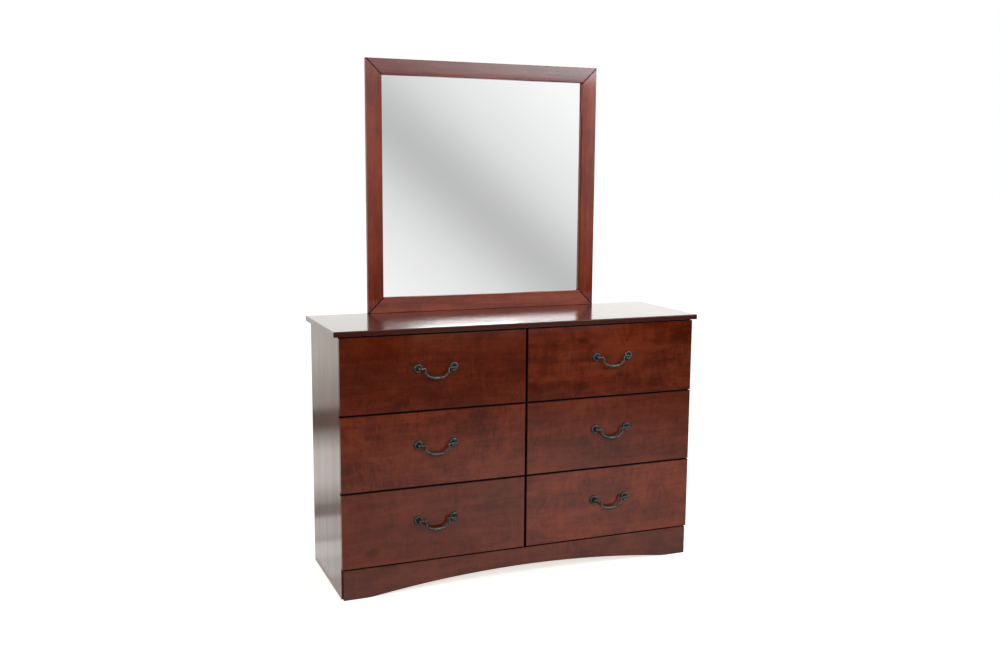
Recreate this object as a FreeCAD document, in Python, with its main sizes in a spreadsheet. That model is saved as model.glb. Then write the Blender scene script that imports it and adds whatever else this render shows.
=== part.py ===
"""A dresser: a case of six drawers with bail pulls, and a framed mirror that stands on its top.

+X is to the right of someone facing the drawers, +Y runs from the drawers to the back, +Z is up.
The origin is on the floor, in the middle of the whole footprint.
"""
import FreeCAD, Part
import math
import os
import re
import Sketcher

Vector = FreeCAD.Vector
Rotation = FreeCAD.Rotation

SIDES = {"left": -1, "right": 1}
ROWS = ("bottom", "middle", "top")

# Driving sizes, in millimetres. A name that ends in share is a part of the length that it follows.
SIZES = {
    # The case: panels, rails and the overhanging top.
    "top_width": 1220,
    "top_depth": 384,
    "top_thickness": 16,
    "top_easing": 2.5,
    "side_overhang": 16,
    "front_overhang": 2,
    "case_height": 802,
    "panel_thickness": 16,
    "back_thickness": 3,
    "back_rebate": 8,
    "stretcher_width": 70,
    "base_rail_lift": 12,
    # The arched apron, and the glue blocks behind it and behind the base rail.
    "apron_height": 92.5,
    "apron_thickness": 15,
    "apron_inset": 4,
    "arch_foot": 82,
    "arch_rise": 36.5,
    "arch_toe_radius": 250,
    "block_leg": 30,
    "block_length": 60,
    "block_step_share": 0.42,
    # The drawer fronts, which cover the case's front edges.
    "front_thickness": 16,
    "front_gap": 3,
    "centre_gap": 5,
    "front_easing": 1.5,
    # The drawer boxes.
    "box_lift": 12,
    "box_top_gap": 49.5,
    "box_side_thickness": 15,
    "box_side_gap": 1.5,
    "box_back_thickness": 15,
    "rear_rail_gap": 6,
    "floor_thickness": 4,
    "floor_lift": 10,
    "floor_groove_depth": 6,
    "floor_play": 0.2,
    # The wooden runners, which lie in a groove of each box side.
    "runner_height": 16,
    "runner_engagement": 7.5,
    "runner_play": 0.3,
    "runner_front_gap": 2,
    "runner_screw_share": 0.12,
    "runner_screw_bite": 6.5,
    # Wood screws, and the play round every fastener in its hole.
    "screw_radius": 1.75,
    "screw_head_radius": 3.5,
    "screw_head_depth": 2.5,
    "support_screw_bite": 10,
    "hole_play": 0.1,
    "hole_end_gap": 1,
    # Dowels: most of each one is in the end grain, the rest in the face of the board it meets.
    "dowel_radius": 4,
    "dowel_end_depth": 20,
    "dowel_face_depth": 10,
    "dowel_margin_share": 0.14,
    "dowel_pair_share": 0.25,
    # The pull's two posts, each on a dished rosette.
    "post_spacing": 114,
    "post_rise": 13,
    "post_standoff": 13,
    "post_head_radius": 4.8,
    "post_radius": 3.4,
    "rosette_radius": 14.8,
    "rosette_edge": 1.2,
    "rosette_ring_width": 8,
    "rosette_ring_bulge": 4.2,
    "rosette_dish_height": 2,
    "pull_screw_radius": 2,
    "pull_screw_bite": 6,
    "pull_screw_head_radius": 4,
    "pull_screw_head_height": 2.2,
    "front_hole_play": 0.3,
    # The bail: pins, swan necks and a bow that is thickest in the middle.
    "pin_radius": 2,
    "pin_play": 0.05,
    "pin_reach": 4,
    "head_gap": 0.4,
    "neck_radius": 3.4,
    "neck_inset": 21,
    "neck_bend": 7,
    "bow_drop": 30,
    "bow_rise": 14.5,
    "bow_tip_overrun": 2.5,
    "bow_radius": 5.4,
    "bow_bead_height": 0.8,
    # The mirror: a mitred frame, glass behind a rebate, and a backing board.
    "mirror_width": 814,
    "mirror_height": 815,
    "frame_width": 51,
    "frame_thickness": 19,
    "frame_easing": 1.5,
    "glass_setback": 13,
    "glass_rebate": 8,
    "glass_thickness": 3,
    "glass_edge_gap": 0.8,
    # The two battens that carry the mirror on the back of the case.
    "support_width": 40,
    "support_thickness": 19,
    "support_drop": 130,
    "support_rise": 620,
    "support_low_share": 0.25,
    "support_high_share": 0.75,
    # How far every cut runs past the face it opens.
    "overrun": 5,
}

# Sizes and places that follow from the driving sizes, each from those above it.
LAYOUT = {
    "case_half": "top_width / 2 - side_overhang",
    "case_depth": "top_depth - front_overhang",
    "face_y": "(post_standoff + bow_radius + bow_bead_height - case_depth - support_thickness) / 2",
    "panel_y": "face_y + front_thickness",
    "rear_y": "face_y + case_depth",
    "back_panel_y": "rear_y - back_thickness",
    "inner_depth": "back_panel_y - panel_y",
    "inner_half": "case_half - panel_thickness",
    "partition_half": "panel_thickness / 2",
    "bay_width": "inner_half - partition_half",
    "bay_centre": "(inner_half + partition_half) / 2",
    "floor_board_z": "apron_height - panel_thickness",
    "stretcher_z": "case_height - panel_thickness",
    "rear_rail_y": "back_panel_y - panel_thickness",
    "rear_rail_z": "case_height - stretcher_width",
    "top_z": "case_height + top_thickness",
    "apron_half": "case_half - apron_inset",
    "arch_half": "apron_half - arch_foot",
    "arch_radius": "(arch_half * arch_half + arch_rise * arch_rise) / (2 * arch_rise)",
    "front_width": "case_half - centre_gap / 2",
    "front_centre": "(case_half + centre_gap / 2) / 2",
    "front_height": f"(case_height - apron_height - {len(ROWS) + 1} * front_gap) / {len(ROWS)}",
    "row_pitch": "front_height + front_gap",
    "first_front_z": "apron_height + front_gap",
    "box_height": "front_height - box_lift - box_top_gap",
    "box_half": "bay_width / 2 - box_side_gap",
    "box_inner_half": "box_half - box_side_thickness",
    "box_depth": "rear_rail_y - rear_rail_gap - panel_y",
    "runner_length": "box_depth - runner_front_gap",
    "runner_thickness": "box_side_gap + runner_engagement",
    "runner_mid_lift": "box_lift + box_height / 2",
    "runner_groove_depth": "runner_engagement + hole_end_gap / 2",
    "pull_lift": "front_height / 2 + post_rise",
    "mirror_half": "mirror_width / 2",
    "mirror_face_y": "rear_y - frame_thickness",
    "glass_y": "mirror_face_y + glass_setback",
    "glass_half": "mirror_half - frame_width + glass_rebate - glass_edge_gap",
    "glass_z": "top_z + frame_width - glass_rebate + glass_edge_gap",
    "glass_height": "mirror_height - 2 * (frame_width - glass_rebate + glass_edge_gap)",
    "backing_thickness": "frame_thickness - glass_setback - glass_thickness",
    "support_x": "mirror_half - frame_width / 2",
    "support_z": "top_z - support_drop",
}

doc = FreeCAD.newDocument("dresser")
sizes = doc.addObject("Spreadsheet::Sheet", "sizes")
for row, (alias, size) in enumerate(SIZES.items(), start=1):
    sizes.set(f"A{row}", alias)
    sizes.set(f"B{row}", str(size))
    sizes.setAlias(f"B{row}", alias)
doc.recompute()


def formula(text):
    """Point each name in text at its cell in the sheet or its entry in the layout."""
    def reference(match):
        word = match.group()
        if word in SIZES:
            return "sizes." + word
        return "layout." + word if word in LAYOUT else word

    return re.sub(r"[a-z_]+", reference, text)


layout = doc.addObject("App::VarSet", "layout")
for entry, text in LAYOUT.items():
    layout.addProperty("App::PropertyFloat", entry)
    layout.setExpression(entry, formula(text))
layout.addProperty("App::PropertyFloat", "answer")
doc.recompute()

# Each sub-part's shape before its holes are cut, and the shapes that cut it.
shapes = {}
cutters = {}


def number(text):
    """The present value of a formula, as the document works it out."""
    layout.setExpression("answer", formula(text))
    layout.recompute()
    return layout.answer


def bind(item, **texts):
    """Bind properties of item to formulas; a double underscore in a name stands for a dot."""
    for name, text in texts.items():
        item.setExpression(name.replace("__", "."), formula(text))
    return item


def place(item, x="0", y="0", z="0", axis=None, angle=0):
    """Put item's origin at a place given by formulas, turned about an axis where one is given."""
    if axis:
        item.Placement = FreeCAD.Placement(Vector(), Rotation(Vector(*axis), angle))
    for letter, text in (("x", x), ("y", y), ("z", z)):
        item.setExpression("Placement.Base." + letter, formula(text))
    return item


def block(name, start, extent):
    """A box from its lowest corner and its extent along X, Y and Z."""
    item = bind(doc.addObject("Part::Box", name), Length=extent[0], Width=extent[1], Height=extent[2])
    return place(item, *start)


def rod(name, radius, length, x, y, z, axis=None, angle=0):
    """A cylinder that starts at a place and runs along +Z, turned as place says."""
    item = bind(doc.addObject("Part::Cylinder", name), Radius=radius, Height=length)
    return place(item, x, y, z, axis, angle)


def group(name, members):
    """Several separate solids in one shape."""
    item = doc.addObject("Part::Compound", name)
    item.Links = members
    return item


def join(name, members):
    """Several solids fused into one."""
    item = doc.addObject("Part::MultiFuse", name)
    item.Shapes = members
    return item


def cut(name, base, tool):
    """One shape less another."""
    item = doc.addObject("Part::Cut", name)
    item.Base = base
    item.Tool = tool
    return item


def copy_of(name, master, x, y, z, axis=None, angle=0):
    """A second one of a shape, at a place of its own."""
    item = doc.addObject("App::Link", name)
    item.LinkedObject = master
    return place(item, x, y, z, axis, angle)


def add(label, shape):
    """Enter a finished sub-part under its label."""
    shapes[label] = shape
    cutters.setdefault(label, [])


def bore(labels, hole):
    """Have a hole cut out of each of the sub-parts it passes through."""
    for label in labels:
        cutters.setdefault(label, []).append(hole)


def outline(body, role, corners):
    """A closed sketch on one of body's planes.

    Each corner is a pair of formulas. A third item is the radius of an arc to the next corner, with
    a minus where the arc turns to the right of the way there.
    """
    sketch = body.newObject("Sketcher::SketchObject", body.Name + "_outline")
    plane = [feature for feature in body.Origin.OriginFeatures if feature.Role == role][0]
    sketch.AttachmentSupport = [(plane, "")]
    sketch.MapMode = "FlatFace"
    points = [Vector(number(corner[0]), number(corner[1]), 0) for corner in corners]
    for index, corner in enumerate(corners):
        start = points[index]
        end = points[(index + 1) % len(points)]
        if len(corner) == 2:
            sketch.addGeometry(Part.LineSegment(start, end))
            continue
        radius = number(corner[2])
        half = (end - start) / 2
        across = Vector(-half.y, half.x, 0).normalize()
        sagitta = abs(radius) - math.sqrt(max(radius * radius - half.Length * half.Length, 0))
        middle = start + half - across * math.copysign(sagitta, radius)
        sketch.addGeometry(Part.Arc(start, middle, end))
    for index, corner in enumerate(corners):
        following = (index + 1) % len(corners)
        arc = len(corner) == 3
        first = 1
        last = 2
        if arc and number(corner[2]) < 0:
            first, last = 2, 1
        nearest = 2 if len(corners[following]) == 3 and number(corners[following][2]) < 0 else 1
        sketch.addConstraint(Sketcher.Constraint("Coincident", index, last, following, nearest))
        for kind, origin_line, text in (("DistanceX", -2, corner[0]), ("DistanceY", -1, corner[1])):
            if text == "0":
                sketch.addConstraint(Sketcher.Constraint("PointOnObject", index, first, origin_line))
                continue
            rule = Sketcher.Constraint(kind, -1, 1, index, first, number(text))
            sketch.setExpression(f"Constraints[{sketch.addConstraint(rule)}]", formula(text))
        if arc:
            rule = Sketcher.Constraint("Radius", index, abs(number(corner[2])))
            text = corner[2].lstrip("-")
            sketch.setExpression(f"Constraints[{sketch.addConstraint(rule)}]", formula(text))
    return sketch


def pad(body, sketch, length, backwards=False):
    """Thicken a sketch along its normal, or the other way."""
    item = body.newObject("PartDesign::Pad", body.Name + "_pad")
    item.Profile = sketch
    item.Reversed = backwards
    return bind(item, Length=length)


def edges_where(shape, test):
    """The names of the edges whose bounding box passes a test."""
    return [f"Edge{index}" for index, edge in enumerate(shape.Edges, start=1) if test(edge.BoundBox)]


def ease(body, feature, radius, test):
    """Round the edges of a feature that pass a test."""
    doc.recompute()
    item = body.newObject("PartDesign::Fillet", body.Name + "_easing")
    item.Base = (feature, edges_where(feature.Shape, test))
    return bind(item, Radius=radius)


def rectangle(width, height):
    """The corners of a rectangle that starts at the origin."""
    return [("0", "0"), (width, "0"), (width, height), ("0", height)]


def make_top():
    """The top board, its upper edges eased."""
    body = doc.addObject("PartDesign::Body", "top_board")
    slab = pad(body, outline(body, "XY_Plane", rectangle("top_width", "top_depth")), "top_thickness")
    upper = number("top_thickness / 2")
    ease(body, slab, "top_easing", lambda box: box.ZMin > upper)
    add("top_panel", place(body, "-top_width / 2", "face_y - front_overhang", "case_height"))


def make_case():
    """The side panels, partition, floor board, rails, back and apron."""
    for side, sign in SIDES.items():
        low = "inner_half" if sign > 0 else "-case_half"
        panel = block(side + "_side", (low, "panel_y", "0"),
                      ("panel_thickness", "rear_y - panel_y", "case_height"))
        slot = "inner_half - overrun" if sign > 0 else "-inner_half - back_rebate"
        rebate = block(side + "_rebate", (slot, "back_panel_y", "floor_board_z"),
                       ("back_rebate + overrun", "back_thickness + overrun", "case_height"))
        add(side + "_side_panel", cut(side + "_side_rebated", panel, rebate))
    partition = block("partition", ("-partition_half", "panel_y", "apron_height"),
                      ("panel_thickness", "inner_depth", "case_height - apron_height"))
    notches = [
        block("front_notch", ("-panel_thickness", "panel_y - overrun", "stretcher_z"),
              ("2 * panel_thickness", "stretcher_width + overrun", "panel_thickness + overrun")),
        block("rear_notch", ("-panel_thickness", "rear_rail_y", "rear_rail_z"),
              ("2 * panel_thickness", "panel_thickness + overrun", "stretcher_width + overrun")),
    ]
    add("centre_partition", cut("partition_notched", partition, group("partition_notches", notches)))
    add("floor_board", block("floor_slab", ("-inner_half", "panel_y", "floor_board_z"),
                             ("2 * inner_half", "inner_depth", "panel_thickness")))
    add("front_stretcher", block("front_strip", ("-inner_half", "panel_y", "stretcher_z"),
                                 ("2 * inner_half", "stretcher_width", "panel_thickness")))
    add("rear_top_rail", block("rear_strip", ("-inner_half", "rear_rail_y", "rear_rail_z"),
                               ("2 * inner_half", "panel_thickness", "stretcher_width")))
    add("rear_base_rail", block("base_strip", ("-inner_half", "rear_rail_y", "base_rail_lift"),
                                ("2 * inner_half", "panel_thickness", "floor_board_z - base_rail_lift")))
    add("back_panel", block("back_sheet", ("-inner_half - back_rebate", "back_panel_y", "floor_board_z"),
                            ("2 * (inner_half + back_rebate)", "back_thickness",
                             "case_height - floor_board_z")))
    make_apron()


def make_apron():
    """The front base board: two feet, and a long low arch between them with rounded toes."""
    body = doc.addObject("PartDesign::Body", "apron_board")
    corners = [
        ("-apron_half", "0"),
        ("-arch_half", "0", "-arch_radius"),
        ("arch_half", "0"),
        ("apron_half", "0"),
        ("apron_half", "apron_height"),
        ("-apron_half", "apron_height"),
    ]
    board = pad(body, outline(body, "XZ_Plane", corners), "apron_thickness")
    arch_half = number("arch_half")
    inside = number("apron_inset")

    def is_toe(box):
        across = abs(abs(box.Center.x) - arch_half)
        return across < inside and box.XLength < inside and box.ZMax < inside

    ease(body, board, "arch_toe_radius", is_toe)
    add("apron", place(body, "0", "panel_y", "0"))


def make_glue_blocks():
    """Triangular blocks under the floor board, behind the apron and in front of the base rail."""
    members = []
    for end, y, angle in (("front", "panel_y", 0), ("rear", "rear_rail_y", 180)):
        for step in range(-2, 3):
            name = f"{end}_block_{step + 2}"
            body = doc.addObject("PartDesign::Body", name)
            corners = [("0", "0"), ("block_leg", "0"), ("0", "-block_leg")]
            sketch = outline(body, "YZ_Plane", corners)
            pad(body, sketch, "block_length").Midplane = True
            centre = f"{step} * block_step_share * inner_half"
            members.append(place(body, centre, y, "floor_board_z", (0, 0, 1), angle))
    add("glue_blocks", group("glue_block_set", members))


def make_dowels():
    """Dowels between the boards of the case, and the holes that they sit in."""
    along = [
        "panel_y + dowel_margin_share * inner_depth",
        "panel_y + inner_depth / 2",
        "panel_y + (1 - dowel_margin_share) * inner_depth",
    ]
    sites = []
    for side, sign in SIDES.items():
        upright = side + "_side_panel"
        middle = f"{sign} * (case_half - partition_half)"
        sites += [(("top_panel", upright), middle, y, "case_height", (1, 0, 0), 180) for y in along]
        ends = [("floor_board", y, "apron_height - partition_half") for y in along]
        for share in ("dowel_pair_share", "(1 - dowel_pair_share)"):
            ends.append(("front_stretcher", f"panel_y + {share} * stretcher_width",
                         "case_height - partition_half"))
            ends.append(("rear_top_rail", "rear_rail_y + partition_half",
                         f"rear_rail_z + {share} * stretcher_width"))
            ends.append(("rear_base_rail", "rear_rail_y + partition_half",
                         f"base_rail_lift + {share} * (floor_board_z - base_rail_lift)"))
        for board, y, z in ends:
            sites.append(((board, upright), f"{sign} * inner_half", y, z, (0, 1, 0), -90 * sign))
    sites += [(("floor_board", "centre_partition"), "0", y, "apron_height", (0, 0, 1), 0) for y in along]
    sites.append((("top_panel", "centre_partition"), "0", along[1], "case_height", (1, 0, 0), 180))
    peg = rod("dowel", "dowel_radius", "dowel_end_depth + dowel_face_depth", "0", "0", "-dowel_face_depth")
    peg_master = group("dowel_master", [peg])
    hole = rod("dowel_hole", "dowel_radius + hole_play",
               "dowel_end_depth + dowel_face_depth + 2 * hole_end_gap",
               "0", "0", "-dowel_face_depth - hole_end_gap")
    hole_master = group("dowel_hole_master", [hole])
    pegs = []
    for index, (boards, x, y, z, axis, angle) in enumerate(sites):
        pegs.append(copy_of(f"dowel_{index}", peg_master, x, y, z, axis, angle))
        bore(boards, copy_of(f"dowel_hole_{index}", hole_master, x, y, z, axis, angle))
    add("case_dowels", group("dowel_set", pegs))


def countersunk(name, length, play="0", end_gap="0"):
    """A countersunk wood screw along +Z with its head at the origin, or the hole for one."""
    head = bind(doc.addObject("Part::Cone", name + "_head"), Radius1=f"screw_head_radius + {play}",
                Radius2=f"screw_radius + {play}", Height="screw_head_depth")
    shank = rod(name + "_shank", f"screw_radius + {play}", f"{length} + {end_gap}", "0", "0", "0")
    return join(name, [head, shank])


def make_runners():
    """Two wooden runners for each drawer, screwed to the panels on each side of its bay."""
    length = "runner_thickness + runner_screw_bite"
    screw = countersunk("runner_screw", length)
    hole = countersunk("runner_screw_hole", length, "hole_play", "hole_end_gap / 2")
    screws = []
    for side, sign in SIDES.items():
        strips = []
        for row, row_name in enumerate(ROWS):
            middle = f"first_front_z + {row} * row_pitch + runner_mid_lift"
            faces = (("outer", f"{sign} * inner_half", -sign, side + "_side_panel"),
                     ("inner", f"{sign} * partition_half", sign, "centre_partition"))
            for face, x, away, panel in faces:
                name = f"{side}_{row_name}_{face}_runner"
                low = x if away > 0 else f"{x} - runner_thickness"
                strip = block(name, (low, "panel_y + runner_front_gap", f"{middle} - runner_height / 2"),
                              ("runner_thickness", "runner_length", "runner_height"))
                holes = []
                for end, share in (("front", "runner_screw_share"), ("rear", "(1 - runner_screw_share)")):
                    spot = (f"{x} + {away} * runner_thickness",
                            f"panel_y + runner_front_gap + {share} * runner_length",
                            middle, (0, 1, 0), -90 * away)
                    screws.append(copy_of(f"{name}_{end}_screw", screw, *spot))
                    holes.append(copy_of(f"{name}_{end}_hole", hole, *spot))
                    bore([panel], holes[-1])
                strips.append(cut(name + "_drilled", strip, group(name + "_holes", holes)))
        add(side + "_bay_runners", group(side + "_runner_set", strips))
    add("runner_screws", group("runner_screw_set", screws))


def make_drawer(side, row):
    """One drawer: its front, grooved box sides, back and floor."""
    sign = SIDES[side]
    name = f"{ROWS[row]}_{side}_drawer"
    base = f"first_front_z + {row} * row_pitch"
    body = doc.addObject("PartDesign::Body", name + "_slab")
    slab = pad(body, outline(body, "XZ_Plane", rectangle("front_width", "front_height")), "front_thickness")
    face = -number("front_thickness / 2")
    ease(body, slab, "front_easing", lambda box: box.YMax < face)
    place(body, f"{sign} * front_centre - front_width / 2", "panel_y", base)
    add(name + "_front", body)

    middle = f"{sign} * bay_centre"
    low = f"{base} + box_lift"
    groove_z = f"{low} + floor_lift"
    groove = block(name + "_floor_groove",
                   (f"{middle} - box_inner_half - floor_groove_depth",
                    "panel_y - floor_groove_depth", groove_z),
                   ("2 * (box_inner_half + floor_groove_depth)",
                    "box_depth + floor_groove_depth + overrun", "floor_thickness + floor_play"))
    bore([name + "_front"], groove)
    walls = []
    for end in (-1, 1):
        wall_x = f"{middle} + {end} * (box_half + box_inner_half) / 2 - box_side_thickness / 2"
        wall = block(f"{name}_wall_{end + 1}", (wall_x, "panel_y", low),
                     ("box_side_thickness", "box_depth", "box_height"))
        reach = f"({end} * (box_half + overrun / 2 - runner_groove_depth / 2))"
        channel = block(f"{name}_channel_{end + 1}",
                        (f"{middle} + {reach} - (runner_groove_depth + overrun) / 2", "panel_y - overrun",
                         f"{base} + runner_mid_lift - runner_height / 2 - runner_play"),
                        ("runner_groove_depth + overrun", "box_depth + 2 * overrun",
                         "runner_height + 2 * runner_play"))
        grooves = group(f"{name}_grooves_{end + 1}", [channel, groove])
        walls.append(cut(f"{name}_grooved_wall_{end + 1}", wall, grooves))
    add(name + "_sides", group(name + "_walls", walls))
    add(name + "_back", block(name + "_rear_wall",
                              (f"{middle} - box_inner_half", "panel_y + box_depth - box_back_thickness",
                               f"{groove_z} + floor_thickness + floor_play"),
                              ("2 * box_inner_half", "box_back_thickness",
                               "box_height - floor_lift - floor_thickness - floor_play")))
    inset = "(floor_groove_depth - floor_play)"
    add(name + "_floor", block(name + "_sheet",
                               (f"{middle} - box_inner_half - {inset}", f"panel_y - {inset}", groove_z),
                               (f"2 * (box_inner_half + {inset})", f"box_depth + {inset}",
                                "floor_thickness")))


def make_pull_post():
    """One post of a pull: a dished rosette with a raised ring, a neck and a ball with the pin's hole."""
    body = doc.addObject("PartDesign::Body", "post_body")
    ring_inner = "rosette_radius - rosette_ring_width"
    head_foot = "post_standoff - sqrt(post_head_radius * post_head_radius - post_radius * post_radius)"
    corners = [
        ("0", "0"),
        ("rosette_radius", "0"),
        ("rosette_radius", "rosette_edge", "rosette_ring_bulge"),
        (ring_inner, "rosette_dish_height"),
        ("post_radius", "rosette_dish_height"),
        ("post_radius", head_foot, "post_head_radius"),
        ("0", "post_standoff + post_head_radius"),
    ]
    sketch = outline(body, "XZ_Plane", corners)
    doc.recompute()
    turned = body.newObject("PartDesign::Revolution", "post_turning")
    turned.Profile = sketch
    turned.ReferenceAxis = (sketch, ["V_Axis"])
    turned.Angle = 360
    reach = "post_head_radius + overrun"
    holes = [
        rod("pin_hole", "pin_radius + pin_play", f"2 * ({reach})", f"-({reach})", "0", "post_standoff",
            (0, 1, 0), 90),
        rod("pull_screw_seat", "pull_screw_radius + pin_play", "pull_screw_bite + hole_end_gap + overrun",
            "0", "0", "-overrun"),
    ]
    return cut("post_master", body, group("post_holes", holes))


def make_pull_screw():
    """The machine screw that holds a post from inside the drawer, head at the origin, along +Z."""
    head = rod("pull_screw_head", "pull_screw_head_radius", "pull_screw_head_height", "0", "0",
               "-pull_screw_head_height")
    shank = rod("pull_screw_shank", "pull_screw_radius", "front_thickness + pull_screw_bite", "0", "0", "0")
    return join("pull_screw_master", [head, shank])


def bail_shape():
    """The bail about its hinge line, which lies along X: one solid, hanging towards -Z."""
    cell = sizes.get
    half = cell("post_spacing") / 2
    neck_x = half - cell("neck_inset")
    bend = cell("neck_bend")
    tip_x = neck_x + cell("bow_tip_overrun")
    fullness = 2.75

    def bow_at(x):
        """The bow's middle line at x, and its direction there: nearly level, and steep at the ends."""
        share = abs(x) / neck_x
        slope = math.copysign(fullness * cell("bow_rise") / neck_x * share ** (fullness - 1), x)
        return Vector(x, 0, cell("bow_rise") * share ** fullness - cell("bow_drop")), Vector(1, 0, slope)

    # Radius along one half of the bow, against the share of the way out: a long taper, collar and tip.
    bead_shares = ((0.3, 0.94), (0.62, 0.72))
    taper_shares = ((0, 1), bead_shares[0], (0.46, 0.86), bead_shares[1], (0.84, 0.58), (0.93, 0.64),
                    (1, 0.5))
    stations = [(-place_share, size_share) for place_share, size_share in reversed(taper_shares[1:])]
    stations += list(taper_shares)
    rings = []
    for place_share, size_share in stations:
        rings.append(Part.Wire(Part.makeCircle(cell("bow_radius") * size_share, *bow_at(place_share * tip_x))))
    solids = [Part.makeLoft(rings, True, False)]
    for sign in (-1, 1):
        for place_share, size_share in bead_shares:
            thickness = cell("bow_bead_height") * 2
            bead_radius = cell("bow_radius") * size_share + cell("bow_bead_height") - thickness
            solids.append(Part.makeTorus(bead_radius, thickness, *bow_at(sign * place_share * tip_x)))
        start = Vector(sign * (half - cell("post_head_radius") - cell("head_gap")), 0, 0)
        corner = Vector(sign * (neck_x + bend), 0, 0)
        below = Vector(sign * neck_x, 0, -bend)
        elbow = Vector(sign * (neck_x + bend * (1 - math.sqrt(0.5))), 0, -bend * (1 - math.sqrt(0.5)))
        foot = bow_at(sign * neck_x)[0]
        path = Part.Wire([Part.makeLine(start, corner), Part.Arc(corner, elbow, below).toShape(),
                          Part.makeLine(below, foot)])
        section = Part.Wire(Part.makeCircle(cell("neck_radius"), start, Vector(-sign, 0, 0)))
        solids.append(path.makePipeShell([section], True, False))
        outward = Vector(sign, 0, 0)
        length = cell("post_head_radius") + cell("head_gap") + cell("pin_reach")
        solids.append(Part.makeCylinder(cell("pin_radius"), length, start, outward))
    return solids[0].multiFuse(solids[1:]).removeSplitter()


def make_pulls():
    """A pull for each drawer: two screwed posts, and a bail that swings in them."""
    post = make_pull_post()
    screw = make_pull_screw()
    bail = bail_shape()
    for row, row_name in enumerate(ROWS):
        for side, sign in SIDES.items():
            name = f"{row_name}_{side}_pull"
            z = f"first_front_z + {row} * row_pitch + pull_lift"
            members = []
            for end in (-1, 1):
                x = f"{sign} * front_centre + {end} * post_spacing / 2"
                members.append(copy_of(f"{name}_post_{end + 1}", post, x, "face_y", z, (1, 0, 0), 90))
                members.append(copy_of(f"{name}_screw_{end + 1}", screw, x, "panel_y", z, (1, 0, 0), 90))
                passage = rod(f"{name}_passage_{end + 1}", "pull_screw_radius + front_hole_play",
                              "front_thickness + 2 * overrun", x, "panel_y + overrun", z, (1, 0, 0), 90)
                bore([f"{row_name}_{side}_drawer_front"], passage)
            add(name + "_posts", group(name + "_post_set", members))
            swing = doc.addObject("Part::Feature", name + "_swing")
            swing.Shape = bail
            add(name + "_bail", place(swing, f"{sign} * front_centre", "face_y - post_standoff", z))


def make_mirror():
    """The mirror: four mitred frame members, the glass and its backing board."""
    half = {"width": "mirror_width / 2", "height": "mirror_height / 2"}
    middle_z = "top_z + mirror_height / 2"
    members = (
        ("mirror_bottom_rail", half["width"], "0", "top_z", 0),
        ("mirror_top_rail", half["width"], "0", "top_z + mirror_height", 180),
        ("mirror_left_stile", half["height"], "-mirror_half", middle_z, 90),
        ("mirror_right_stile", half["height"], "mirror_half", middle_z, -90),
    )
    # Each member is thickened in two strips: the full width in front, and less behind the rebate.
    strips = (
        ("frame_width", "glass_setback", False),
        ("(frame_width - glass_rebate)", "frame_thickness - glass_setback", True),
    )
    for label, reach, x, z, angle in members:
        body = doc.addObject("PartDesign::Body", label + "_bar")
        layers = []
        for width, depth, backwards in strips:
            corners = [
                (f"-{reach}", "0"),
                (reach, "0"),
                (f"{reach} - {width}", width),
                (f"{width} - {reach}", width),
            ]
            layers.append(pad(body, outline(body, "XZ_Plane", corners), depth, backwards))
        front = -number("glass_setback / 2")
        slant = number("frame_width / 2")
        ease(body, layers[-1], "frame_easing", lambda box: box.YMax < front and box.ZLength < slant)
        add(label, place(body, x, "glass_y", z, (0, 1, 0), angle))
    add("mirror_glass", block("glass_sheet", ("-glass_half", "glass_y", "glass_z"),
                              ("2 * glass_half", "glass_thickness", "glass_height")))
    add("mirror_backing", block("backing_sheet", ("-glass_half", "glass_y + glass_thickness", "glass_z"),
                                ("2 * glass_half", "backing_thickness", "glass_height")))


def make_supports():
    """Two battens behind the mirror's stiles, screwed to them and to the rear of the case."""
    screws = []
    lengths = {
        "case": "support_thickness + back_thickness + support_screw_bite",
        "stile": "support_thickness + support_screw_bite",
    }
    screw = {kind: countersunk(f"support_{kind}_screw", text) for kind, text in lengths.items()}
    hole = {kind: countersunk(f"support_{kind}_hole", text, "hole_play", "hole_end_gap")
            for kind, text in lengths.items()}
    heights = (
        ("low", "case", "rear_rail_z + support_low_share * stretcher_width", "rear_top_rail"),
        ("high", "case", "rear_rail_z + support_high_share * stretcher_width", "rear_top_rail"),
        ("lower", "stile", "top_z + support_low_share * support_rise", "mirror_{}_stile"),
        ("upper", "stile", "top_z + support_high_share * support_rise", "mirror_{}_stile"),
    )
    for side, sign in SIDES.items():
        label = f"mirror_{side}_support"
        x = f"{sign} * support_x"
        add(label, block(label + "_batten", (f"{x} - support_width / 2", "rear_y", "support_z"),
                         ("support_width", "support_thickness", "support_drop + support_rise")))
        for level, kind, z, target in heights:
            spot = (x, "rear_y + support_thickness", z, (1, 0, 0), 90)
            screws.append(copy_of(f"{label}_{level}_screw", screw[kind], *spot))
            boards = [label, target.format(side)]
            if kind == "case":
                boards.append("back_panel")
            bore(boards, copy_of(f"{label}_{level}_hole", hole[kind], *spot))
    add("support_screws", group("support_screw_set", screws))


def finish_parts():
    """Cut each sub-part's holes and give it its label."""
    parts = []
    for label, shape in shapes.items():
        if cutters[label]:
            shape = cut(label + "_drilled", shape, group(label + "_cutters", cutters[label]))
        shape.Label = label
        parts.append(shape)
    return parts


def check(parts):
    """Stop if any object failed, or any sub-part is not a sound shape of closed solids."""
    faults = [item.Name for item in doc.Objects if {"Invalid", "Error"} & set(item.State)]
    for part in parts:
        if part.Shape.isNull() or not part.Shape.isValid() or not part.Shape.Solids:
            faults.append(part.Label)
    if faults:
        raise RuntimeError("these did not come out right: " + ", ".join(faults))


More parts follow.
